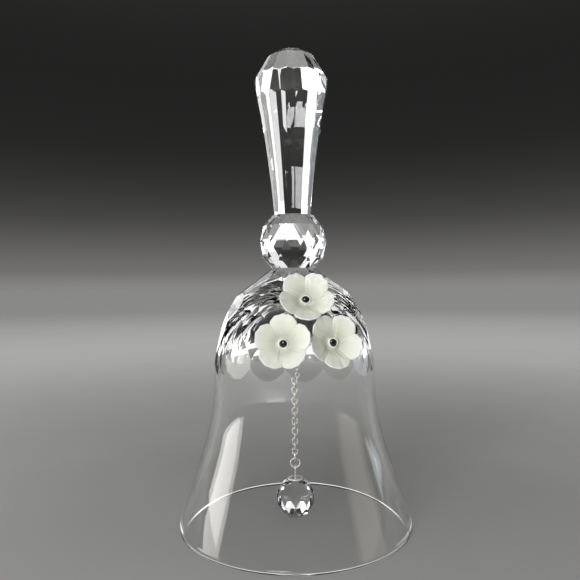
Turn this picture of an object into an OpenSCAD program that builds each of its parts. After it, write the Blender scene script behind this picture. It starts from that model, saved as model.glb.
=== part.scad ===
// Crystal table bell: a cut and blown glass bell with a faceted knop and handle,
// three frosted flowers on the dome, and a crystal clapper that hangs on a fine cable chain.
// Millimetres, +Z up. The origin is on the bell's axis, in the plane that the rim stands on.
// The chain's links lie in the XZ and YZ planes by turns, and every hinge axis crosses the bell's axis.

/* [Bell] */
// Outside diameter of the mouth at the rim
mouth_d = 71; // [66:0.5:76]
// Outside diameter of the waist, where the smooth skirt meets the cut dome
waist_d = 49.1; // [48.6:0.1:49.6]
// Height of the waist above the rim
waist_z = 46.5; // [45.5:0.5:47]
// Height of the neck, where the knop is joined on
neck_z = 78.3; // [77.8:0.1:79]
// Radius of the neck, to the middle of a facet
neck_r = 6.5; // [6:0.1:7]
// Thickness of the blown wall
wall_t = 2.5; // [2:0.1:3]
// Radius of the arc by which the skirt flares out
flare_r = 75; // [65:1:85]
// Slope of the skirt below the flare, from the vertical, in degrees
flare_a = 19; // [17:0.5:21]

/* [Dome cuts] */
// Facets round each of the four rows of the dome
dome_n = 15; // [15]
// Direction of a facet's middle in the lowest row, in degrees from the front
cut_turn = 6.5; // [0:0.5:12]

/* [Knop] */
// Diameter of the faceted knop over its corners
knop_d = 21; // [20:0.1:22]
// Height of the knop between its two flats
knop_h = 16.3; // [15.5:0.1:17]
// Facet corners round the knop
knop_n = 12; // [8:2:16]

/* [Handle] */
// Facets round the handle
handle_n = 16; // [12:2:18]
// Radius of the handle at the knop, to the middle of a facet
handle_foot_r = 5.6; // [5:0.1:6.2]
// Radius at the lower edge of the girdle, to the middle of a facet
girdle_r = 10.35; // [10:0.05:10.6]
// Height of the lower edge of the girdle above the rim
girdle_z = 130.7; // [129:0.1:132]
// Greatest radius of the handle, to the middle of a facet
shoulder_r = 11.2; // [11:0.05:11.5]
// Height of the greatest radius above the rim
shoulder_z = 136.4; // [135.5:0.1:137]
// Radius of the grinding wheel that leaves the long facets slightly hollow
wheel_r = 330; // [250:10:500]
// Overall height of the bell
bell_h = 145.2; // [145:0.1:147]

/* [Flowers] */
// Radius of a flower over its petal tips
flower_r = 7.75; // [7:0.05:7.75]
// Thickness of a petal
petal_t = 0.9; // [0.7:0.1:1.1]
// Radius of the bowl that the petals curve up into
cup_r = 11; // [10.5:0.5:14]
// Radius of the dark bead that is sunk into the middle of a flower
bead_r = 0.95; // [0.8:0.05:1.1]

/* [Clapper] */
// Diameter of the crystal clapper over its corners
clapper_d = 12; // [11.5:0.1:12.2]
// Height of the clapper's centre above the rim plane
clapper_z = 7.6; // [7.4:0.1:8]
// Number of links in the chain
link_count = 31; // [31]
// Wire diameter of a link
wire_d = 0.46; // [0.4:0.01:0.5]
// Outside length of a link
link_l = 2.55; // [2.5:0.01:2.6]
// Outside width of a link
link_w = 2.05; // [1.95:0.01:2.15]
// Clearance between two wires that hang in each other
hang_gap = 0.045; // [0.03:0.005:0.06]
// Outside diameter of the jump ring
ring_d = 3.4; // [3.2:0.1:3.6]
// Wire diameter of the jump ring, of the bail and of the hanger's loop
ring_wire = 0.5; // [0.45:0.01:0.55]

/* [Hidden] */
$fn = 96;

// Direction of the front, from which the turns of cuts and flowers are counted
front = 270;

// Rim: the full round end of the wall, ground flat on the plane that it stands on
lip_r = wall_t / 2;
lip_z = 1.05;
lip_x = mouth_d / 2 - lip_r;
out_dir = [cos(flare_a), sin(flare_a)];
lip_c = [lip_x, lip_z];
lip_out = lip_c + lip_r * out_dir;
lip_in = lip_c - lip_r * out_dir;

// Flare: one arc from the vertical waist down to the straight lower skirt. The straight
// lines run on past the arc by tuck, so that they cross it cleanly instead of just touching it
tuck = 0.02;
waist_r = waist_d / 2;
flare_c = [waist_r + flare_r, waist_z];
flare_out = flare_c - (flare_r - tuck) * out_dir;
flare_in = flare_c - (flare_r + wall_t - tuck) * out_dir;

// Inside of the dome: a half sphere on a short cylinder, with a flat seat for the hanger
dome_in_r = waist_r - wall_t + tuck;
dome_in_z = 48.5;
seat_r = 3;
seat_z = 70.6;

// Corners of the cut dome as [radius to the middle of a facet, height], from the waist up,
// and how far the cuts of one row run on below and above it
dome_ring = [[24.38, 48], [23.05, 56.4], [20.7, 64.1], [17.1, 70.4], [neck_r, neck_z]];
dome_step = 360 / dome_n;
cut_below = [4.5, 8, 6, 4];
cut_above = [8, 6, 4, 3];

// Knop
knop_r = knop_d / 2;
knop_z = neck_z + knop_h / 2;
knop_flat_r = sqrt(knop_r * knop_r - knop_h * knop_h / 4);
knop_ring_z = knop_h * 0.3;

// Handle
handle_z = neck_z + knop_h;
handle_turn = front + 16.5;
crown_r = 7.3;
crown_z = 143.2;
table_r = 4.2;

// Flowers: height of the foot, its distance from the middle of its facet, length of the stem.
// The side flowers stand on facets of the second row, the top one on a facet of the third.
// A bead's low dome rises a little over the bottom of the bowl
hub_r = 1.7;
bead_dome_r = 1.6;
bead_rise = 0.3;
side_foot_z = 56.7;
top_foot_z = 67.7;
top_aside = 1;
left_aside = -0.5;
right_aside = 3;
top_stem = 1.9;
side_stem = 1.1;

// Chain, from the bottom up
link_c = link_l - wire_d;
hang = wire_d + hang_gap;
pitch = link_c - hang;
clapper_r = clapper_d / 2;
clapper_flat = 5.35;
pad_z = clapper_z + clapper_flat;
pad_r = 2.4;
pad_t = 0.4;
bail_w = 2.3;
bail_low_z = pad_z + pad_t;
bail_top_z = 17.05;
ring_low_z = bail_top_z - ring_wire - hang_gap;
ring_top_z = ring_low_z + ring_d - ring_wire;
last_link_z = ring_top_z - (ring_wire + wire_d) / 2 - hang_gap;
hanger_low_z = last_link_z + link_count * pitch - (ring_wire - wire_d) / 2;
hanger_t = 0.7;

// A ring of n points of radius r at height z, the first one at angle a
function ring(n, r, z, a) = [for (i = [0:n - 1]) [r * cos(a + i * 360 / n), r * sin(a + i * 360 / n), z]];

// Triangles of the band between point rings k and k + 1, where the upper ring is half a step ahead
function band(n, k) = [for (i = [0:n - 1]) each [
    [k * n + i, (k + 1) * n + i, k * n + (i + 1) % n],
    [k * n + (i + 1) % n, (k + 1) * n + i, (k + 1) * n + (i + 1) % n]]];

// A closed gem of stacked rings [radius, height], each half a step on from the one below
module gem(n, rings, a) {
    last = len(rings) - 1;
    polyhedron(
        points = [for (k = [0:last]) each ring(n, rings[k][0], rings[k][1], a + k * 180 / n)],
        faces = concat(
            [[for (i = [0:n - 1]) i]],
            [[for (i = [n - 1:-1:0]) last * n + i]],
            [for (k = [0:last - 1]) each band(n, k)]),
        convexity = 2);
}

// n flat cuts round the axis: the plane passes through [radius, height] low and high
module flat_cuts(n, a, low, high, width, below, above, depth) {
    tilt = atan2(low[0] - high[0], high[1] - low[1]);
    run = norm(high - low);
    for (i = [0:n - 1])
        rotate(a + i * 360 / n)
            translate([low[0], 0, low[1]])
                rotate([0, -tilt, 0])
                    translate([0, -width / 2, -below])
                        cube([depth, width, run + below + above]);
}

// Section of the bell's outside, solid to the axis, before the dome is cut
module outer_section() {
    difference() {
        polygon([[0, lip_in[1]], lip_in, lip_out, flare_out, [flare_out[0] + 4, flare_out[1]],
                 [waist_r + 4, waist_z], [waist_r + tuck, waist_z], [waist_r + tuck, 62], [19.5, 72],
                 [neck_r + 2.2, neck_z], [0, neck_z]]);
        translate(flare_c) circle(r = flare_r, $fn = 720);
    }
}

// Section of the hollow skirt, which ends in the short cylinder under the dome
module inner_section() {
    difference() {
        polygon([[0, -1], [lip_in[0] + tan(flare_a) * (lip_in[1] + 1), -1], flare_in,
                 [flare_in[0] + 4, flare_in[1]], [dome_in_r + 4, waist_z],
                 [dome_in_r, waist_z], [dome_in_r, dome_in_z], [0, dome_in_z]]);
        translate(flare_c) circle(r = flare_r + wall_t, $fn = 720);
    }
}

module bell_body() {
    color("aliceblue", 0.4)
    difference() {
        rotate_extrude($fn = 180) difference() {
            union() {
                difference() {
                    outer_section();
                    inner_section();
                }
                translate(lip_c) circle(r = lip_r, $fn = 48);
            }
            translate([0, -2]) square([mouth_d, 2]);
        }
        translate([0, 0, dome_in_z]) sphere(r = dome_in_r, $fn = 180);
        translate([0, 0, seat_z - 2]) cylinder(r = seat_r, h = 2);
        for (i = [0:3])
            flat_cuts(dome_n, front + cut_turn + i % 2 * dome_step / 2, dome_ring[i],
                      dome_ring[i + 1], 14, cut_below[i], cut_above[i], 12);
    }
}

module knop_ball() {
    color("aliceblue", 0.4)
    translate([0, 0, knop_z])
        gem(knop_n,
            [[knop_flat_r, -knop_h / 2],
             [sqrt(knop_r * knop_r - knop_ring_z * knop_ring_z), -knop_ring_z],
             [knop_r, 0],
             [sqrt(knop_r * knop_r - knop_ring_z * knop_ring_z), knop_ring_z],
             [knop_flat_r, knop_h / 2]],
            front + 18);
}

// A long facet: a shallow cut by a large wheel that meets the knop and the girdle
module wheel_cuts() {
    low = [handle_foot_r, handle_z];
    high = [girdle_r, girdle_z];
    half = norm(high - low) / 2;
    lean = atan2(high[0] - low[0], high[1] - low[1]);
    reach = sqrt(wheel_r * wheel_r - half * half);
    middle = (low + high) / 2;
    centre = middle + reach * [cos(lean), -sin(lean)];
    for (i = [0:handle_n - 1])
        rotate(handle_turn + i * 360 / handle_n)
            translate([centre[0], 3, centre[1]])
                rotate([90, 0, 0])
                    cylinder(r = wheel_r, h = 6, $fn = 1440);
}

module handle() {
    color("aliceblue", 0.4)
    difference() {
        translate([0, 0, handle_z]) cylinder(r = shoulder_r + 1, h = bell_h - handle_z);
        wheel_cuts();
        flat_cuts(handle_n, handle_turn,
                  [girdle_r, girdle_z], [shoulder_r, shoulder_z], 6, 4, 6, 3);
        flat_cuts(handle_n, handle_turn + 180 / handle_n,
                  [shoulder_r, shoulder_z], [crown_r, crown_z], 7, 3, 6, 6);
        flat_cuts(handle_n, handle_turn,
                  [crown_r, crown_z], [table_r, bell_h], 7, 6, 6, 6);
    }
}

// Places a flower's own frame on a facet of dome row i: +Z outward, origin at the foot
module on_facet(i, direction, aside, z) {
    low = dome_ring[i];
    high = dome_ring[i + 1];
    rotate(front + direction)
        translate([low[0] + (high[0] - low[0]) * (z - low[1]) / (high[1] - low[1]), aside, z])
            rotate([0, 90 - atan2(low[0] - high[0], high[1] - low[1]), 0])
                children();
}

// A frosted flower: five petals curved up into a shallow bowl on a short stem
module flower(stem, turn) {
    petal_r = 3.25;
    color("white")
    difference() {
        union() {
            cylinder(r = hub_r, h = stem + petal_t / 2);
            intersection() {
                difference() {
                    translate([0, 0, stem + cup_r]) sphere(r = cup_r);
                    translate([0, 0, stem + cup_r]) sphere(r = cup_r - petal_t);
                }
                linear_extrude(stem + 5) {
                    circle(r = flower_r * 0.6);
                    for (i = [0:4])
                        rotate(turn + i * 72)
                            translate([flower_r - petal_r, 0])
                                circle(r = petal_r, $fn = 48);
                }
            }
        }
        translate([0, 0, stem]) cylinder(r = bead_r + 0.05, h = 3, $fn = 32);
    }
}

// The dark bead that sits in a flower's eye
module bead(stem) {
    color("black")
    translate([0, 0, stem]) intersection() {
        cylinder(r = bead_r, h = 2 * petal_t, $fn = 32);
        translate([0, 0, petal_t + bead_rise - bead_dome_r]) sphere(r = bead_dome_r, $fn = 48);
    }
}

module at_top_flower() {
    on_facet(2, cut_turn, top_aside, top_foot_z) children();
}
module at_left_flower() {
    on_facet(1, cut_turn - dome_step / 2, left_aside, side_foot_z) children();
}
module at_right_flower() {
    on_facet(1, cut_turn + dome_step / 2, right_aside, side_foot_z) children();
}

// A round-ended loop of wire in the XZ plane, centred on the origin
module wire_loop(length, width, wire) {
    bend = (width - wire) / 2;
    leg = length - width;
    for (s = [1, -1])
        translate([0, 0, s * leg / 2])
            rotate([90, 0, 0])
                rotate([0, 0, s > 0 ? 0 : 180])
                    rotate_extrude(angle = 180, $fn = 48)
                        translate([bend, 0]) circle(d = wire, $fn = 24);
    if (leg > 0)
        for (s = [1, -1])
            translate([s * bend, 0, -leg / 2])
                cylinder(d = wire, h = leg, $fn = 24);
}

// Link i, counted from the hanger down; odd links stand edge-on to the front
module chain_link(i) {
    color("silver")
    translate([0, 0, last_link_z + (link_count - i) * pitch + link_c / 2])
        rotate(i % 2 == 1 ? 90 : 0)
            wire_loop(link_l, link_w, wire_d);
}

// The hanger: a pad on the flat seat under the dome, with a loop soldered to it
module hanger_cap() {
    color("silver") {
        translate([0, 0, seat_z - hanger_t]) cylinder(r = seat_r - 0.2, h = hanger_t);
        translate([0, 0, hanger_low_z]) difference() {
            translate([0, 0, (seat_z - hanger_low_z) / 2])
                wire_loop(seat_z - hanger_low_z + ring_wire, 2.3, ring_wire);
            translate([-3, -3, seat_z - hanger_low_z]) cube([6, 6, 3]);
        }
    }
}

module jump_ring() {
    color("silver")
    translate([0, 0, (ring_low_z + ring_top_z) / 2])
        rotate([90, 0, 0])
            rotate_extrude($fn = 64)
                translate([(ring_d - ring_wire) / 2, 0]) circle(d = ring_wire, $fn = 24);
}

// The bail: a pad cemented to the clapper's top flat, with a tall loop soldered to it
module clapper_bail() {
    color("silver") {
        translate([0, 0, pad_z]) cylinder(r = pad_r, h = pad_t);
        rotate(90)
            translate([0, 0, (bail_low_z + bail_top_z) / 2])
                wire_loop(bail_top_z - bail_low_z + ring_wire, bail_w, ring_wire);
    }
}

module clapper_ball() {
    low = clapper_r * 0.72;
    step = clapper_r * 0.27;
    color("aliceblue", 0.4)
    translate([0, 0, clapper_z])
        gem(10,
            [[sqrt(clapper_r * clapper_r - clapper_flat * clapper_flat), -clapper_flat],
             [sqrt(clapper_r * clapper_r - low * low), -low],
             [sqrt(clapper_r * clapper_r - step * step), -step],
             [sqrt(clapper_r * clapper_r - step * step), step],
             [sqrt(clapper_r * clapper_r - low * low), low],
             [sqrt(clapper_r * clapper_r - clapper_flat * clapper_flat), clapper_flat]],
            front);
}

bell_body();
knop_ball();
handle();
at_top_flower() flower(top_stem, 0);  // flower_top
at_left_flower() flower(side_stem, 36);  // flower_left
at_right_flower() flower(side_stem, 0);  // flower_right
at_top_flower() bead(top_stem);  // bead_top
at_left_flower() bead(side_stem);  // bead_left
at_right_flower() bead(side_stem);  // bead_right
hanger_cap();
chain_link(1);  // link_01
chain_link(2);  // link_02
chain_link(3);  // link_03
chain_link(4);  // link_04
chain_link(5);  // link_05
chain_link(6);  // link_06
chain_link(7);  // link_07
chain_link(8);  // link_08
chain_link(9);  // link_09
chain_link(10);  // link_10
chain_link(11);  // link_11
chain_link(12);  // link_12
chain_link(13);  // link_13
chain_link(14);  // link_14
chain_link(15);  // link_15
chain_link(16);  // link_16
chain_link(17);  // link_17
chain_link(18);  // link_18
chain_link(19);  // link_19
chain_link(20);  // link_20
chain_link(21);  // link_21
chain_link(22);  // link_22
chain_link(23);  // link_23
chain_link(24);  // link_24
chain_link(25);  // link_25
chain_link(26);  // link_26
chain_link(27);  // link_27
chain_link(28);  // link_28
chain_link(29);  // link_29
chain_link(30);  // link_30
chain_link(31);  // link_31
jump_ring();
clapper_bail();
clapper_ball();
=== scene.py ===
"""The crystal bell's looks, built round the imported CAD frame. Metres, +Z up, -Y is the front."""
from math import acos, atan2, cos, exp, pi, radians, sin, sqrt

import bmesh
import bpy
from mathutils import Matrix, Vector


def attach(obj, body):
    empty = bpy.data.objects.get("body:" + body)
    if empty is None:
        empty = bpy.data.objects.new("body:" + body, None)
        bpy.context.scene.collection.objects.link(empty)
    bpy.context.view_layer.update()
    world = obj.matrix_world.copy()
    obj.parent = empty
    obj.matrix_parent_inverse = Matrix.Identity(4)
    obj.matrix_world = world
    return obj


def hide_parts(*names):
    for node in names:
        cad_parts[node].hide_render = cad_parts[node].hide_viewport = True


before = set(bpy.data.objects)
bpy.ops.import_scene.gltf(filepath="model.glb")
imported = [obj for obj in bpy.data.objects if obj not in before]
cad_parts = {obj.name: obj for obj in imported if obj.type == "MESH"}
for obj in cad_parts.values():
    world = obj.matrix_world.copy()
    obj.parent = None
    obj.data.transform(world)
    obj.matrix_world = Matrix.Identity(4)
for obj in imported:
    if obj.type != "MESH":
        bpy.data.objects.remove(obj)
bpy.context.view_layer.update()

MM = 0.001

# ---------------------------------------------------------------- sizes, as in the CAD model, in millimetres

FRONT = 270.0                                # direction of the front, in degrees

# The bell: a rounded rim, a flare that is an arc, a straight waist, and a half sphere inside the dome.
MOUTH_R = 35.5
WALL = 2.5
LIP_R = WALL / 2
LIP_X = MOUTH_R - LIP_R
LIP_Z = 1.05                                 # under LIP_R, so the rim is ground flat
FLARE_R = 75.0
FLARE_A = radians(19)
WAIST_R = 24.55
WAIST_Z = 46.5
STOCK_Z = 43.5                               # everything below is only blown
DOME_IN_R = WAIST_R - WALL
DOME_IN_Z = 48.5
SEAT_R = 3.0                                 # the flat that the hanger's pad is cemented to
SEAT_Z = 70.6

# The dome's rows of facets lie between these [radius, height] points, each half a facet on from the last.
NECK_Z = 78.3
DOME_RING = [(24.38, 48.0), (23.05, 56.4), (20.7, 64.1), (17.1, 70.4), (6.5, NECK_Z)]
DOME_N = 15
DOME_STEP = 360 / DOME_N
CUT_TURN = 6.5                               # degrees from the front

KNOP_R = 10.5
KNOP_H = 16.3
KNOP_N = 12
KNOP_TURN = 18.0

# The handle's facets, by the [radius, height] of their flats.
HANDLE_N = 16
HANDLE_TURN = 16.5
HANDLE_FOOT = (5.6, NECK_Z + KNOP_H)
GIRDLE = (10.35, 130.7)
SHOULDER = (11.2, 136.4)
CROWN = (7.3, 143.2)
TABLE = (4.2, 145.2)
WHEEL_R = 330.0                              # of the hollow grinding along the handle

FLOWER_R = 7.75
PETALS = 5
PETAL_T = 0.9
CUP_R = 11.0
HUB_R = 1.7
EDGE_R = 0.24
EYE_GAP = 0.08                               # between a bead and the edge of its hole
EYE_FLOOR = 0.05                             # over the top of the stem
BEAD_FOOT = 0.02
BEAD_R = 0.95
BEAD_DOME_R = 1.6
BEAD_RISE = 0.3
TOP_STEM = 1.9
SIDE_STEM = 1.1
TOP_FOOT_Z = 67.7
SIDE_FOOT_Z = 56.7
TOP_ASIDE = 1.0                              # from the middle of its facet, to the right
LEFT_ASIDE = -0.5
RIGHT_ASIDE = 3.0

WIRE = 0.46
LINK_L = 2.55
LINK_W = 2.05
LINK_COUNT = 31
PITCH = 1.585
LAST_LINK_Z = 18.88
RING_WIRE = 0.5
RING_D = 3.4
RING_LOW_Z = 16.505
EYELET_W = 2.3                               # the loops on the hanger and on the clapper
HANGER_LOW_Z = 67.995
HANGER_T = 0.7
BAIL_TOP_Z = 17.05
CLAPPER_R = 6.0
CLAPPER_FLAT = 5.35
CLAPPER_N = 10
CLAPPER_Z = 7.6
PAD_R = 2.4
PAD_T = 0.4

SEAM = 0.01                                  # pads keep this far from the glass
SUNK = 0.02                                  # knop and handle reach this far into the piece below
MERGE = 1e-4                                 # points nearer than this are one
ON_PLANE = 1e-5                              # points nearer to a cutting plane than this lie on it

# Steps round and along the turned shapes.
SKIRT_N = 192
FLARE_STEPS = 26
LIP_STEPS = 14
INSIDE_STEPS = 28
DOME_STEPS = 34
HANDLE_STEPS = 24
FLOWER_N = 240
BEAD_N = 40
BEAD_STEPS = 10
PAD_N = 48
WIRE_N = 12
BEND_STEPS = 14
EYELET_STEPS = 16

FLAT_UNDER = 0.5                             # degrees; a gem's faces that meet under this angle are one facet

# Edges over these angles, in degrees, shade as edges.
BELL_SHARP = 3.5
CUT_SHARP = 1.5
BEAD_SHARP = 25
SOFT_SHARP = 50
LOOP_SHARP = 60

# Edges between facets over this angle, in degrees, are eased by a flat of the width given for the piece.
EASE_OVER = 4.0
BELL_EASE = 0.05
EASE_Z = 50.0                                # the facets' ends below this run out into the waist
KNOP_EASE = 0.06
HANDLE_EASE = 0.06
CLAPPER_EASE = 0.04


# ---------------------------------------------------------------- meshes

def turned(degrees_from_front):
    return radians(FRONT + degrees_from_front)


def spread(first, last, steps):
    """Even values from first to last, in so many steps."""
    return [first + (last - first) * i / steps for i in range(steps + 1)]


def add_ring(bm, n, r, z, turn=0.0):
    return [bm.verts.new((r * cos(turn + 2 * pi * i / n), r * sin(turn + 2 * pi * i / n), z))
            for i in range(n)]


def bridge(bm, one, two):
    n = len(one)
    for i in range(n):
        bm.faces.new((one[i], one[(i + 1) % n], two[(i + 1) % n], two[i]))


def lathe(bm, n, profile, start=None):
    """Rings through the profile's [radius, height] points, from an existing ring if one is given."""
    ring = start
    for r, z in profile:
        nxt = add_ring(bm, n, r, z)
        if ring:
            bridge(bm, ring, nxt)
        ring = nxt
    return ring


def mark_sharp(bm, angle, low=None):
    """Edges over angle, and above the height low, stay crisp; everything else shades smoothly."""
    bm.normal_update()
    for face in bm.faces:
        face.smooth = True
    for e in bm.edges:
        high_enough = low is None or (e.verts[0].co.z + e.verts[1].co.z) / 2 > low
        e.smooth = not (high_enough and len(e.link_faces) == 2 and e.calc_face_angle(0) > radians(angle))


def finished(bm, angle, place=None, low=None):
    """Faces outward, edges over angle marked, and all of it moved by the matrix place."""
    bmesh.ops.recalc_face_normals(bm, faces=bm.faces[:])
    mark_sharp(bm, angle, low)
    if place:
        bmesh.ops.transform(bm, matrix=place, verts=bm.verts[:])
    return bm


def cut_plane(bm, turn, low, high):
    """Takes off what is outside the plane through [radius, height] low and high, and closes the cut."""
    along = Vector((high[0] - low[0], high[1] - low[1])).normalized()
    normal = Vector((along.y * cos(turn), along.y * sin(turn), -along.x))
    point = Vector((low[0] * cos(turn), low[0] * sin(turn), low[1]))
    cut = bmesh.ops.bisect_plane(bm, geom=bm.verts[:] + bm.edges[:] + bm.faces[:], dist=ON_PLANE,
                                 plane_co=point, plane_no=normal, clear_outer=True)
    cut_edges = [g for g in cut["geom_cut"] if isinstance(g, bmesh.types.BMEdge)]
    if cut_edges:
        bmesh.ops.contextual_create(bm, geom=cut_edges)


def ease_edges(bm, width, low=None):
    """A narrow flat along the edges between facets, as polishing leaves it."""
    bm.normal_update()
    sharp = [e for e in bm.edges if len(e.link_faces) == 2 and e.calc_face_angle(0) > radians(EASE_OVER)
             and (low is None or min(v.co.z for v in e.verts) > low)]
    bmesh.ops.bevel(bm, geom=sharp, offset=width, offset_type="OFFSET", segments=1, profile=0.5,
                    affect="EDGES", clamp_overlap=True)


def piece(name, bm, body, material, nodes):
    """Makes a bmesh in millimetres into a piece that rides on body and stands for the CAD nodes."""
    bmesh.ops.recalc_face_normals(bm, faces=bm.faces[:])
    bmesh.ops.scale(bm, vec=(MM, MM, MM), verts=bm.verts[:])
    mesh = bpy.data.meshes.new(name)
    bm.to_mesh(mesh)
    bm.free()
    mesh.materials.append(material)
    obj = bpy.data.objects.new(name, mesh)
    bpy.context.scene.collection.objects.link(obj)
    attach(obj, body)
    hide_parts(*nodes)


def flare(r, z):
    """Radius at height z of the flare's arc, which is r away from the flare's centre."""
    return WAIST_R + FLARE_R - sqrt(r * r - (z - WAIST_Z) ** 2)


def bell_mesh():
    """The blown skirt and the hollow turned smooth, and the dome ground flat facet by facet.

    The blank's rings and the last one in the seat only divide straight or flat stretches.
    """
    bm = bmesh.new()
    stock = [(flare(FLARE_R, z), z) for z in (STOCK_Z, 44.5, 45.5, WAIST_Z)]
    stock += [(WAIST_R, z) for z in (48.5, 51.0, NECK_Z)]
    waist = lathe(bm, SKIRT_N, stock[:1])
    top = lathe(bm, SKIRT_N, stock[1:], waist)
    bm.faces.new(top)
    for row in range(len(DOME_RING) - 1):
        for k in range(DOME_N):
            cut_plane(bm, turned(CUT_TURN + (k + row % 2 / 2) * DOME_STEP), DOME_RING[row], DOME_RING[row + 1])
    ease_edges(bm, BELL_EASE, low=EASE_Z)

    outside = [(flare(FLARE_R, z), z)
               for z in spread(STOCK_Z, WAIST_Z - FLARE_R * sin(FLARE_A), FLARE_STEPS)[1:]]
    flat = atan2(-LIP_Z, sqrt(LIP_R * LIP_R - LIP_Z * LIP_Z))
    round_lip = spread(FLARE_A, flat, LIP_STEPS) + spread(-pi - flat, FLARE_A - pi, LIP_STEPS)
    lip = [(LIP_X + LIP_R * cos(a), LIP_Z + LIP_R * sin(a)) for a in round_lip]
    inside_r = FLARE_R + WALL
    inside = [(flare(inside_r, z), z)
              for z in spread(WAIST_Z - inside_r * sin(FLARE_A), WAIST_Z, INSIDE_STEPS)]
    top_turn = atan2(sqrt(DOME_IN_R ** 2 - SEAT_R ** 2), SEAT_R)
    dome = [(DOME_IN_R * cos(a), DOME_IN_Z + DOME_IN_R * sin(a)) for a in spread(0, top_turn, DOME_STEPS)]
    seat = [(SEAT_R, SEAT_Z), (SEAT_R * 0.6, SEAT_Z)]
    last = lathe(bm, SKIRT_N, outside + lip + inside + dome + seat, waist)
    bm.faces.new(last)
    bmesh.ops.remove_doubles(bm, verts=bm.verts[:], dist=MERGE)
    return finished(bm, BELL_SHARP, low=STOCK_Z)


def gem_mesh(rings, n, turn, ease):
    """A convex gem with a corner at every point of its rings, each half a step on from the last."""
    bm = bmesh.new()
    for k, (r, z) in enumerate(rings):
        add_ring(bm, n, r, z, turn + k * pi / n)
    hull = bmesh.ops.convex_hull(bm, input=bm.verts[:])
    spare = {g for g in hull["geom_interior"] + hull["geom_unused"] if isinstance(g, bmesh.types.BMVert)}
    bmesh.ops.delete(bm, geom=list(spare), context="VERTS")
    bmesh.ops.dissolve_limit(bm, angle_limit=radians(FLAT_UNDER), verts=bm.verts[:], edges=bm.edges[:])
    ease_edges(bm, ease)
    mark_sharp(bm, CUT_SHARP)
    return bm


def knop_mesh():
    """A ball with a table above and below, and three rings of corners between them."""
    flat_r = sqrt(KNOP_R ** 2 - KNOP_H ** 2 / 4)
    ring_z = KNOP_H * 0.3
    ring_r = sqrt(KNOP_R ** 2 - ring_z ** 2)
    middle = NECK_Z + KNOP_H / 2
    rings = [(flat_r, NECK_Z - SUNK), (ring_r, middle - ring_z), (KNOP_R, middle),
             (ring_r, middle + ring_z), (flat_r, NECK_Z + KNOP_H)]
    return gem_mesh(rings, KNOP_N, turned(KNOP_TURN), KNOP_EASE)


def clapper_mesh():
    """A ball with a table above and below, and four rings of corners between them."""
    low, step = CLAPPER_R * 0.72, CLAPPER_R * 0.27
    rings = [(sqrt(CLAPPER_R ** 2 - h * h), CLAPPER_Z + h)
             for h in (-CLAPPER_FLAT, -low, -step, step, low, CLAPPER_FLAT)]
    return gem_mesh(rings, CLAPPER_N, turned(0), CLAPPER_EASE)


def handle_mesh():
    """Sixteen long facets ground a little hollow, a girdle, and a crown cut half a step over."""
    bm = bmesh.new()
    corner = 1 / cos(pi / HANDLE_N)
    turn = turned(HANDLE_TURN) + pi / HANDLE_N
    run = Vector((GIRDLE[0] - HANDLE_FOOT[0], GIRDLE[1] - HANDLE_FOOT[1]))
    half = run.length / 2
    middle = Vector((GIRDLE[0] + HANDLE_FOOT[0], GIRDLE[1] + HANDLE_FOOT[1])) / 2
    centre = middle + sqrt(WHEEL_R ** 2 - half ** 2) * Vector((run.y, -run.x)).normalized()
    foot = add_ring(bm, HANDLE_N, HANDLE_FOOT[0] * corner, HANDLE_FOOT[1] - SUNK, turn)
    bm.faces.new(foot[::-1])
    ring = foot
    for z in spread(HANDLE_FOOT[1], GIRDLE[1], HANDLE_STEPS)[1:]:
        r = centre.x - sqrt(WHEEL_R ** 2 - (z - centre.y) ** 2)
        nxt = add_ring(bm, HANDLE_N, r * corner, z, turn)
        bridge(bm, ring, nxt)
        ring = nxt
    slope = (SHOULDER[0] - GIRDLE[0]) / (SHOULDER[1] - GIRDLE[1])
    top = add_ring(bm, HANDLE_N, (GIRDLE[0] + slope * (TABLE[1] - GIRDLE[1])) * corner, TABLE[1], turn)
    bridge(bm, ring, top)
    bm.faces.new(top)
    for offset, low, high in ((1, SHOULDER, CROWN), (0, CROWN, TABLE)):
        for k in range(HANDLE_N):
            cut_plane(bm, turned(HANDLE_TURN) + (2 * k + offset) * pi / HANDLE_N, low, high)
    bmesh.ops.recalc_face_normals(bm, faces=bm.faces[:])
    ease_edges(bm, HANDLE_EASE)
    mark_sharp(bm, CUT_SHARP)
    return bm


def facet_frame(row, direction, aside, z):
    """The place of a flower on its facet: +Z outward, origin at the foot of the stem."""
    (r0, z0), (r1, z1) = DOME_RING[row], DOME_RING[row + 1]
    r = r0 + (r1 - r0) * (z - z0) / (z1 - z0)
    tilt = atan2(r0 - r1, z1 - z0)
    return (Matrix.Rotation(turned(direction), 4, "Z") @ Matrix.Translation((r, aside, z))
            @ Matrix.Rotation(pi / 2 - tilt, 4, "Y"))


def petal(theta, turn):
    """How far round its petal theta is, from -0.5 to 0.5."""
    x = (theta - radians(turn)) * PETALS / (2 * pi) + 0.5
    return x - int(x // 1) - 0.5


def outline(theta, turn):
    """Radius of the flower's edge: broad petals with softly scalloped ends, as shares of its radius."""
    u = petal(theta, turn)
    lobe = cos(pi * u) ** 0.55
    scallop = 0.011 * (1 - cos(8 * pi * u)) * cos(pi * u)
    return FLOWER_R * (0.80 + 0.20 * lobe - scallop)


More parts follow.
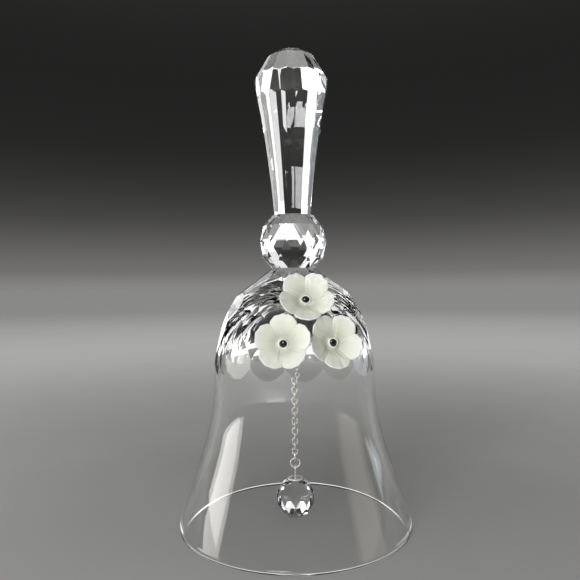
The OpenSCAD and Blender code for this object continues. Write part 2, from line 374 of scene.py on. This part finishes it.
def petal_height(r, theta, turn, edge):
    """Height of the petals over the bowl: a deep throat, and each petal's side laid over the next one.

    The seams between petals sweep round towards the throat. r and every height are in millimetres, and t is the
    share of the way out to the edge.
    """
    t = r / edge
    throat = -0.45 * exp(-((r - 2.0) / 1.2) ** 2)
    sweep = petal(theta + 0.62 * (1 - t) - 0.04, turn) + 0.5
    step = sweep / 0.90 if sweep < 0.90 else 1 - (sweep - 0.90) / 0.10
    overlap = 0.32 * (step - 0.5) * min(1, max(0, (r - 1.3) / 1.2)) * (1 - t) ** 0.6
    crease = 0.34 * (abs(petal(theta, turn)) * 2) ** 3 * t * t
    ruffle = 0.05 * cos(8 * pi * petal(theta, turn)) * t ** 4
    lip = -0.30 * max(0, t - 0.78) / 0.22
    return throat + overlap - crease + ruffle + lip


def flower_mesh(stem, turn, place):
    """A frosted flower as one closed skin: eye's hole, petals, rolled edge, bowl and stem."""
    bm = bmesh.new()
    angles = [2 * pi * i / FLOWER_N for i in range(FLOWER_N)]
    edges = [outline(a, turn) for a in angles]
    eye = BEAD_R + EYE_GAP
    inner = eye + 0.46
    top = PETAL_T * 0.9

    def bowl(r):
        return stem + CUP_R - sqrt(CUP_R ** 2 - min(r, CUP_R * 0.9) ** 2)

    def ring(rule):
        """One row of points, whose [radius, height] the rule gives from the angle and the edge's radius."""
        points = [(a, *rule(a, edge)) for a, edge in zip(angles, edges)]
        return [bm.verts.new((r * cos(a), r * sin(a), z)) for a, r, z in points]

    def upper(a, edge, t):
        r = inner + (edge - EDGE_R - inner) * t
        return r, bowl(r) + top + petal_height(r, a, turn, edge)

    def rolled(a, edge, roll):
        r, z = upper(a, edge, 1)
        return r + EDGE_R * cos(roll), z - EDGE_R * (1 - sin(roll))

    def under(a, edge, t):
        rim = edge - EDGE_R
        r = rim + (HUB_R + 0.35 - rim) * t
        return r, bowl(r) + (top - 2 * EDGE_R + petal_height(rim, a, turn, edge)) * (1 - t) ** 2

    rows = [ring(lambda a, edge: (r, stem + EYE_FLOOR)) for r in (eye * 0.5, eye)]
    for out, thick in ((0, 0.85), (0.08, 1.02), (0.22, 1.06), (0.36, 0.94)):
        rows.append(ring(lambda a, edge: (eye + out, bowl(eye) + PETAL_T * thick)))
    for t in spread(0, 1, 34):
        rows.append(ring(lambda a, edge: upper(a, edge, t)))
    for roll in spread(pi / 2, -pi / 2, 8)[1:]:
        rows.append(ring(lambda a, edge: rolled(a, edge, roll)))
    for t in spread(0, 1, 10)[1:]:
        rows.append(ring(lambda a, edge: under(a, edge, t)))
    for r, z in ((HUB_R + 0.12, bowl(HUB_R) - 0.08), (HUB_R, bowl(HUB_R) - 0.25), (HUB_R, 0.0)):
        rows.append(ring(lambda a, edge: (r, z)))
    for one, two in zip(rows, rows[1:]):
        bridge(bm, one, two)
    bm.faces.new(rows[0])
    bm.faces.new(rows[-1])
    return finished(bm, SOFT_SHARP, place)


def bead_mesh(stem, place):
    """A bead sunk in the eye, with a low dome."""
    bm = bmesh.new()
    middle = stem + PETAL_T + BEAD_RISE - BEAD_DOME_R
    rise = spread(acos(BEAD_R / BEAD_DOME_R), radians(88), BEAD_STEPS)
    foot = add_ring(bm, BEAD_N, BEAD_R, stem + BEAD_FOOT)
    top = lathe(bm, BEAD_N, [(BEAD_DOME_R * cos(a), middle + BEAD_DOME_R * sin(a)) for a in rise], foot)
    bm.faces.new(top)
    bm.faces.new(foot)
    return finished(bm, BEAD_SHARP, place)


def add_wire(bm, path, wire, closed=True):
    """A round wire along points in the XZ plane."""
    count = len(path)
    rings = []
    for i, p in enumerate(path):
        before = path[i - 1] if closed or i else p
        after = path[(i + 1) % count] if closed or i < count - 1 else p
        along = Vector((after[0] - before[0], after[1] - before[1])).normalized()
        across = Vector((along.y, 0, -along.x))
        around = [2 * pi * s / WIRE_N for s in range(WIRE_N)]
        rings.append([bm.verts.new(Vector((p[0], 0, p[1]))
                                   + (across * cos(a) + Vector((0, 1, 0)) * sin(a)) * wire / 2)
                      for a in around])
    for one, two in zip(rings, rings[1:] + (rings[:1] if closed else [])):
        bridge(bm, one, two)
    if not closed:
        bm.faces.new(rings[0])
        bm.faces.new(rings[-1])


def oval(length, width, wire):
    """Centre line of a round-ended loop, anticlockwise from the left-hand leg's foot."""
    bend = (width - wire) / 2
    leg = (length - width) / 2
    low = [(bend * cos(a), -leg + bend * sin(a)) for a in spread(pi, 2 * pi, BEND_STEPS)]
    high = [(bend * cos(a), leg + bend * sin(a)) for a in spread(0, pi, BEND_STEPS)]
    return low + high


def loop_mesh(length, width, wire, middle, turn):
    """A link of the chain, or the jump ring, which is as long as it is wide."""
    bm = bmesh.new()
    path = oval(length, width, wire)
    if length <= width:
        path = path[:BEND_STEPS] + path[BEND_STEPS + 1:-1]
    add_wire(bm, path, wire)
    return finished(bm, LOOP_SHARP, Matrix.Translation((0, 0, middle)) @ Matrix.Rotation(radians(turn), 4, "Z"))


def add_pad(bm, r, low, high):
    """A round pad with eased edges."""
    ease = 0.08
    first = add_ring(bm, PAD_N, r * 0.5, low)
    last = lathe(bm, PAD_N, [(r - ease, low), (r, low + ease), (r, high - ease), (r - ease, high),
                             (r * 0.5, high)], first)
    bm.faces.new(first)
    bm.faces.new(last)


def add_eyelet(bm, root, leg_foot, tip):
    """A loop of wire soldered on at height root, whose centre line reaches to height tip."""
    way = 1 if tip > root else -1
    bend = way * (EYELET_W - RING_WIRE) / 2
    middle = tip - bend
    path = [(bend, root), (bend, (middle + leg_foot) / 2)]
    path += [(bend * cos(a), middle + bend * sin(a)) for a in spread(0, pi, EYELET_STEPS)]
    path += [(-bend, (middle + leg_foot) / 2), (-bend, root)]
    add_wire(bm, path, RING_WIRE, closed=False)


def hanger_mesh():
    """The pad under the dome with its soldered loop, which the first link hangs in."""
    bm = bmesh.new()
    add_eyelet(bm, SEAT_Z - HANGER_T / 2, SEAT_Z - HANGER_T, HANGER_LOW_Z)
    add_pad(bm, SEAT_R - 0.2, SEAT_Z - HANGER_T, SEAT_Z - SEAM)
    return finished(bm, SOFT_SHARP)


def bail_mesh():
    """The pad on the clapper with its soldered loop."""
    bm = bmesh.new()
    pad_z = CLAPPER_Z + CLAPPER_FLAT
    add_eyelet(bm, pad_z + PAD_T / 2, pad_z, BAIL_TOP_Z)
    bmesh.ops.transform(bm, matrix=Matrix.Rotation(pi / 2, 4, "Z"), verts=bm.verts[:])
    add_pad(bm, PAD_R, pad_z + SEAM, pad_z + PAD_T)
    return finished(bm, SOFT_SHARP)


# Each flower's length of stem, turn of its petals in degrees, and place.
flowers = {
    "top": (TOP_STEM, 0, facet_frame(2, CUT_TURN, TOP_ASIDE, TOP_FOOT_Z)),
    "left": (SIDE_STEM, 36, facet_frame(1, CUT_TURN - DOME_STEP / 2, LEFT_ASIDE, SIDE_FOOT_Z)),
    "right": (SIDE_STEM, 0, facet_frame(1, CUT_TURN + DOME_STEP / 2, RIGHT_ASIDE, SIDE_FOOT_Z)),
}


# ---------------------------------------------------------------- materials

def node_material(name):
    """A new material with its shader and its output."""
    mat = bpy.data.materials.new(name)
    mat.use_nodes = True
    nodes = mat.node_tree.nodes
    nodes.clear()
    out = nodes.new("ShaderNodeOutputMaterial")
    shader = nodes.new("ShaderNodeBsdfPrincipled")
    mat.node_tree.links.new(shader.outputs[0], out.inputs[0])
    return mat, shader, out


def plug(mat, shader, socket, value):
    mat.node_tree.links.new(value, shader.inputs[socket])


def noise_field(mat, scale, detail=4.0, stretch=(1, 1, 1)):
    """Noise in the object's own space."""
    nodes, links = mat.node_tree.nodes, mat.node_tree.links
    where = nodes.new("ShaderNodeTexCoord")
    place = nodes.new("ShaderNodeMapping")
    place.inputs["Scale"].default_value = stretch
    field = nodes.new("ShaderNodeTexNoise")
    field.inputs["Scale"].default_value = scale
    field.inputs["Detail"].default_value = detail
    links.new(where.outputs["Object"], place.inputs["Vector"])
    links.new(place.outputs["Vector"], field.inputs["Vector"])
    return field.outputs["Fac"]


def colour_ramp(mat, factor, stops, interpolation="LINEAR"):
    """A colour for each value of factor, by (position, colour) stops; mat may be a world too."""
    ramp = mat.node_tree.nodes.new("ShaderNodeValToRGB")
    while len(ramp.color_ramp.elements) < len(stops):
        ramp.color_ramp.elements.new(0.5)
    for element, (position, colour) in zip(ramp.color_ramp.elements, stops):
        element.position = position
        element.color = (*colour, 1)
    ramp.color_ramp.interpolation = interpolation
    mat.node_tree.links.new(factor, ramp.inputs[0])
    return ramp.outputs[0]


def value_range(mat, factor, low, high, out_low, out_high):
    """The factor's range from low to high, laid on the range from out_low to out_high."""
    node = mat.node_tree.nodes.new("ShaderNodeMapRange")
    for socket, value in zip(("From Min", "From Max", "To Min", "To Max"), (low, high, out_low, out_high)):
        node.inputs[socket].default_value = value
    mat.node_tree.links.new(factor, node.inputs["Value"])
    return node.outputs["Result"]


def nearest(mat, points):
    """Distance in metres from the nearest of the points, given in millimetres."""
    nodes, links = mat.node_tree.nodes, mat.node_tree.links
    where = nodes.new("ShaderNodeTexCoord")
    least = None
    for point in points:
        away = nodes.new("ShaderNodeVectorMath")
        away.operation = "DISTANCE"
        away.inputs[1].default_value = point * MM
        links.new(where.outputs["Object"], away.inputs[0])
        found = away.outputs["Value"]
        if least:
            smaller = nodes.new("ShaderNodeMath")
            smaller.operation = "MINIMUM"
            links.new(least, smaller.inputs[0])
            links.new(found, smaller.inputs[1])
            found = smaller.outputs[0]
        least = found
    return least


def tinted(mat, one, two):
    """The product of two colours."""
    node = mat.node_tree.nodes.new("ShaderNodeMix")
    node.data_type = "RGBA"
    node.blend_type = "MULTIPLY"
    node.inputs["Factor"].default_value = 1.0
    mat.node_tree.links.new(one, node.inputs[6])
    mat.node_tree.links.new(two, node.inputs[7])
    return node.outputs[2]


def bump(mat, shader, height, distance, strength):
    """Relief in the shader's normal; distance is in metres."""
    node = mat.node_tree.nodes.new("ShaderNodeBump")
    node.inputs["Distance"].default_value = distance
    node.inputs["Strength"].default_value = strength
    mat.node_tree.links.new(height, node.inputs["Height"])
    mat.node_tree.links.new(node.outputs["Normal"], shader.inputs["Normal"])


def let_light_through(mat, shader, out, tint):
    """Lamps and scattered light pass the glass, instead of leaving a hard shadow or bright spots behind it."""
    nodes, links = mat.node_tree.nodes, mat.node_tree.links
    path = nodes.new("ShaderNodeLightPath")
    clear = nodes.new("ShaderNodeBsdfTransparent")
    clear.inputs["Color"].default_value = (*tint, 1)
    mix = nodes.new("ShaderNodeMixShader")
    either = nodes.new("ShaderNodeMath")
    either.operation = "MAXIMUM"
    links.new(path.outputs["Is Shadow Ray"], either.inputs[0])
    links.new(path.outputs["Is Diffuse Ray"], either.inputs[1])
    links.new(either.outputs[0], mix.inputs[0])
    links.new(shader.outputs[0], mix.inputs[1])
    links.new(clear.outputs[0], mix.inputs[2])
    links.new(mix.outputs[0], out.inputs[0])


def glass_material(name, ior, tint, ripple, ripple_scale, stretch):
    """Clear glass with a trace of tint, fine polishing haze and a faint ripple."""
    mat, shader, out = node_material(name)
    shader.inputs["Transmission Weight"].default_value = 1.0
    shader.inputs["IOR"].default_value = ior
    haze = noise_field(mat, 900.0, 6.0)
    shade = noise_field(mat, 60.0, 3.0)
    plug(mat, shader, "Base Color", colour_ramp(mat, shade, [(0.3, tint[0]), (0.7, tint[1])]))
    plug(mat, shader, "Roughness", value_range(mat, haze, 0.45, 0.8, 0.0, 0.03))
    bump(mat, shader, noise_field(mat, ripple_scale, 2.0, stretch), 0.0002, ripple)
    let_light_through(mat, shader, out, (0.93, 0.93, 0.93))
    return mat


blown_glass = glass_material("blown_glass", 1.50, ((0.985, 0.99, 0.985), (0.995, 0.997, 0.995)),
                             0.02, 70.0, (1, 1, 0.25))
cut_crystal = glass_material("cut_crystal", 1.56, ((0.98, 0.985, 0.985), (0.997, 0.998, 0.998)),
                             0.006, 120.0, (1, 1, 1))

# The flowers' colour carries painted shade and a painted glow: darker and greener in the throat, where the deep
# bowl is in shade, pale round the bead, and whitest at the thin edge, where light glows through.
frosted, frost_shader, _ = node_material("frosted_glass")
frost_shader.inputs["Subsurface Weight"].default_value = 0.6
frost_shader.inputs["Subsurface Radius"].default_value = (1.0, 1.0, 0.9)
frost_shader.inputs["Subsurface Scale"].default_value = 0.0008
frost_shader.inputs["IOR"].default_value = 1.5
frost_grain = noise_field(frosted, 2600.0, 8.0)
frost_cloud = noise_field(frosted, 260.0, 4.0)
eyes = [place @ Vector((0, 0, stem + PETAL_T)) for stem, _, place in flowers.values()]
frost_spread = value_range(frosted, nearest(frosted, eyes), 0.0, FLOWER_R * MM, 0.0, 1.0)
# Painted shade in each throat and a painted glow at each thin edge, by the share of the way out from the
# nearest eye.
frost_painted_shade_and_glow = colour_ramp(frosted, frost_spread, [
    (0.16, (0.88, 0.89, 0.80)), (0.22, (0.64, 0.65, 0.56)), (0.34, (0.62, 0.63, 0.54)),
    (0.60, (0.82, 0.83, 0.73)), (0.88, (0.90, 0.91, 0.82)), (0.97, (0.97, 0.97, 0.92))])
frost_shade = colour_ramp(frosted, frost_cloud, [(0.3, (0.92, 0.93, 0.91)), (0.7, (1, 1, 1))])
plug(frosted, frost_shader, "Base Color", tinted(frosted, frost_painted_shade_and_glow, frost_shade))
plug(frosted, frost_shader, "Roughness", value_range(frosted, frost_cloud, 0.3, 0.7, 0.42, 0.60))
bump(frosted, frost_shader, frost_grain, 0.00008, 0.35)

silver, silver_shader, _ = node_material("silver_plate")
silver_shader.inputs["Metallic"].default_value = 0.55
silver_wear = noise_field(silver, 1500.0, 5.0)
plug(silver, silver_shader, "Base Color", colour_ramp(silver, silver_wear, [
    (0.3, (0.70, 0.67, 0.62)), (0.5, (0.93, 0.90, 0.85)), (0.8, (0.98, 0.96, 0.92))]))
plug(silver, silver_shader, "Roughness", value_range(silver, silver_wear, 0.3, 0.7, 0.32, 0.14))
bump(silver, silver_shader, noise_field(silver, 4000.0, 3.0), 0.00003, 0.2)

jet, jet_shader, _ = node_material("jet")
jet_cloud = noise_field(jet, 1200.0, 4.0)
plug(jet, jet_shader, "Base Color", colour_ramp(jet, jet_cloud, [
    (0.3, (0.006, 0.006, 0.007)), (0.8, (0.03, 0.028, 0.03))]))
plug(jet, jet_shader, "Roughness", value_range(jet, jet_cloud, 0.3, 0.7, 0.04, 0.14))


# ---------------------------------------------------------------- pieces

piece("bell_glass", bell_mesh(), "bell", blown_glass, ["bell_body"])
piece("knop_glass", knop_mesh(), "bell", cut_crystal, ["knop_ball"])
piece("handle_glass", handle_mesh(), "bell", cut_crystal, ["handle"])

for where, (stem, turn, place) in flowers.items():
    piece(f"petals_{where}", flower_mesh(stem, turn, place), "bell", frosted,
          [f"flower_{where}"])
    piece(f"eye_{where}", bead_mesh(stem, place), "bell", jet, [f"bead_{where}"])

piece("hanger", hanger_mesh(), "bell", silver, ["hanger_cap"])
for i in range(1, LINK_COUNT + 1):
    middle = LAST_LINK_Z + (LINK_COUNT - i) * PITCH + (LINK_L - WIRE) / 2
    bm = loop_mesh(LINK_L, LINK_W, WIRE, middle, 90 if i % 2 else 0)
    piece(f"chain_{i:02d}", bm, f"link_{i:02d}", silver, [f"link_{i:02d}"])
ring_mesh = loop_mesh(RING_D, RING_D, RING_WIRE, RING_LOW_Z + (RING_D - RING_WIRE) / 2, 0)
piece("ring", ring_mesh, "jump_ring", silver, ["jump_ring"])
piece("bail", bail_mesh(), "clapper", silver, ["clapper_bail"])
piece("clapper_glass", clapper_mesh(), "clapper", cut_crystal, ["clapper_ball"])


# ---------------------------------------------------------------- floor, lights and camera

# All measures from here on are in metres. The pale floor glows softly some way off, all round the bell. Further
# out it is as bright as the foot of the sky, so no horizon shows.
FLOOR_R = 9.0
GLOW_REACH = 2.0
GLOW = [(0.06, (0, 0, 0)), (0.22, (0.31, 0.31, 0.302)), (0.42, (0.28, 0.28, 0.272)),
        (0.70, (0.20, 0.20, 0.195)), (1.0, (0.165, 0.165, 0.160))]
floor_mat, floor_shader, _ = node_material("pale_floor")
floor_shader.inputs["Roughness"].default_value = 0.7
floor_shader.inputs["Specular IOR Level"].default_value = 0.0
plug(floor_mat, floor_shader, "Base Color", colour_ramp(floor_mat, noise_field(floor_mat, 12.0, 3.0), [
    (0.3, (0.66, 0.66, 0.652)), (0.7, (0.70, 0.70, 0.692))]))
floor_far = value_range(floor_mat, nearest(floor_mat, [Vector((0, 0, 0))]), 0.0, GLOW_REACH, 0.0, 1.0)
plug(floor_mat, floor_shader, "Emission Color", colour_ramp(floor_mat, floor_far, GLOW, "B_SPLINE"))
floor_shader.inputs["Emission Strength"].default_value = 1.0
bpy.ops.mesh.primitive_circle_add(vertices=128, radius=FLOOR_R, fill_type="NGON", location=(0, 0, 0))
floor = bpy.context.object
floor.name = "floor"
floor.data.materials.append(floor_mat)

# The sky's brightness by the sine of the elevation: dim behind the handle, brighter overhead.
SKY = [(0.0, 0.265), (0.03, 0.18), (0.12, 0.045), (0.24, 0.016), (0.6, 0.010), (1.0, 0.30)]
world = bpy.data.worlds.new("studio")
bpy.context.scene.world = world
world.use_nodes = True
sky_nodes, sky_links = world.node_tree.nodes, world.node_tree.links
sky_nodes.clear()
sky_out = sky_nodes.new("ShaderNodeOutputWorld")
sky = sky_nodes.new("ShaderNodeBackground")
sky_where = sky_nodes.new("ShaderNodeTexCoord")
sky_split = sky_nodes.new("ShaderNodeSeparateXYZ")
sky_links.new(sky_where.outputs["Generated"], sky_split.inputs[0])
sky_stops = [(position, (level, level * 0.985, level * 0.96)) for position, level in SKY]
sky_links.new(colour_ramp(world, sky_split.outputs["Z"], sky_stops, "B_SPLINE"), sky.inputs[0])
sky_links.new(sky.outputs[0], sky_out.inputs[0])

PANEL_AWAY = 0.6
PANEL_MIDDLE = 0.08


def softbox(name, place, target, width, height, radiance, on_floor=False):
    """A soft panel of even brightness, aimed at target: it lights matt things, or else shows in the glass."""
    light = bpy.data.lights.new(name, "AREA")
    light.shape = "RECTANGLE"
    light.size = width
    light.size_y = height
    light.energy = radiance * pi * width * height
    obj = bpy.data.objects.new(name, light)
    bpy.context.scene.collection.objects.link(obj)
    obj.location = place
    obj.rotation_euler = (Vector(target) - Vector(place)).to_track_quat("-Z", "Y").to_euler()
    obj.visible_camera = False
    obj.visible_diffuse = on_floor
    obj.visible_transmission = not on_floor
    obj.visible_glossy = not on_floor
    return obj


def round_about(name, direction, height, width, tall, radiance, colour=(1, 1, 1)):
    """A panel that shows in the glass, by its direction from the front and its elevation, in degrees."""
    around, up = turned(direction), radians(height)
    place = (PANEL_AWAY * cos(up) * cos(around), PANEL_AWAY * cos(up) * sin(around),
             PANEL_MIDDLE + PANEL_AWAY * sin(up))
    softbox(name, place, (0, 0, PANEL_MIDDLE), width, tall, radiance).data.color = colour


softbox("key", (-0.30, -0.60, 0.19), (0, 0, 0.06), 0.30, 0.30, 14.0, on_floor=True)
round_about("left", -90, 6, 0.30, 0.24, 5.0, (1.0, 0.97, 0.93))
round_about("right", 76, 6, 0.34, 0.24, 0.9, (1.0, 0.90, 0.80))
round_about("back_left_low", -150, 6, 0.30, 0.24, 2.0)
round_about("back_left_high", -150, 30, 0.26, 0.34, 1.1)
round_about("back_right_low", 120, 6, 0.30, 0.24, 1.9, (0.86, 0.93, 1.0))
round_about("back_right_mid", 150, 6, 0.24, 0.24, 1.1)
round_about("back_right_high", 150, 30, 0.26, 0.34, 0.85)
softbox("back", (0, 0.60, 0.050), (0, 0, 0.050), 0.70, 0.09, 1.0)
softbox("top_panel", (-0.14, -0.40, 0.46), (0, 0, 0.07), 0.20, 0.20, 15.0)

bpy.context.scene.view_settings.view_transform = "Standard"

# The camera as it was fitted to the photograph: focal length in pixels of a frame 580 wide, angles in degrees.
FOCAL, FRAME = 577, 580
SENSOR = 36.0
CAMERA_PLACE = (0, -0.1793, 0.0717)
yaw, pitch, roll = radians(-0.347), radians(0.02), radians(0.598)
ahead = Vector((sin(yaw) * cos(pitch), cos(yaw) * cos(pitch), -sin(pitch)))
right = ahead.cross(Vector((0, 0, 1))).normalized()
up = right.cross(ahead)
side = cos(roll) * right - sin(roll) * up
top = sin(roll) * right + cos(roll) * up

camera_data = bpy.data.cameras.new("camera")
camera = bpy.data.objects.new("camera", camera_data)
bpy.context.scene.collection.objects.link(camera)
camera_data.sensor_width = SENSOR
camera_data.lens = FOCAL / FRAME * SENSOR
camera_data.clip_start = 0.01
camera.matrix_world = Matrix.Translation(CAMERA_PLACE) @ Matrix((
    (side.x, top.x, -ahead.x, 0), (side.y, top.y, -ahead.y, 0), (side.z, top.z, -ahead.z, 0), (0, 0, 0, 1)))
bpy.context.scene.camera = camera
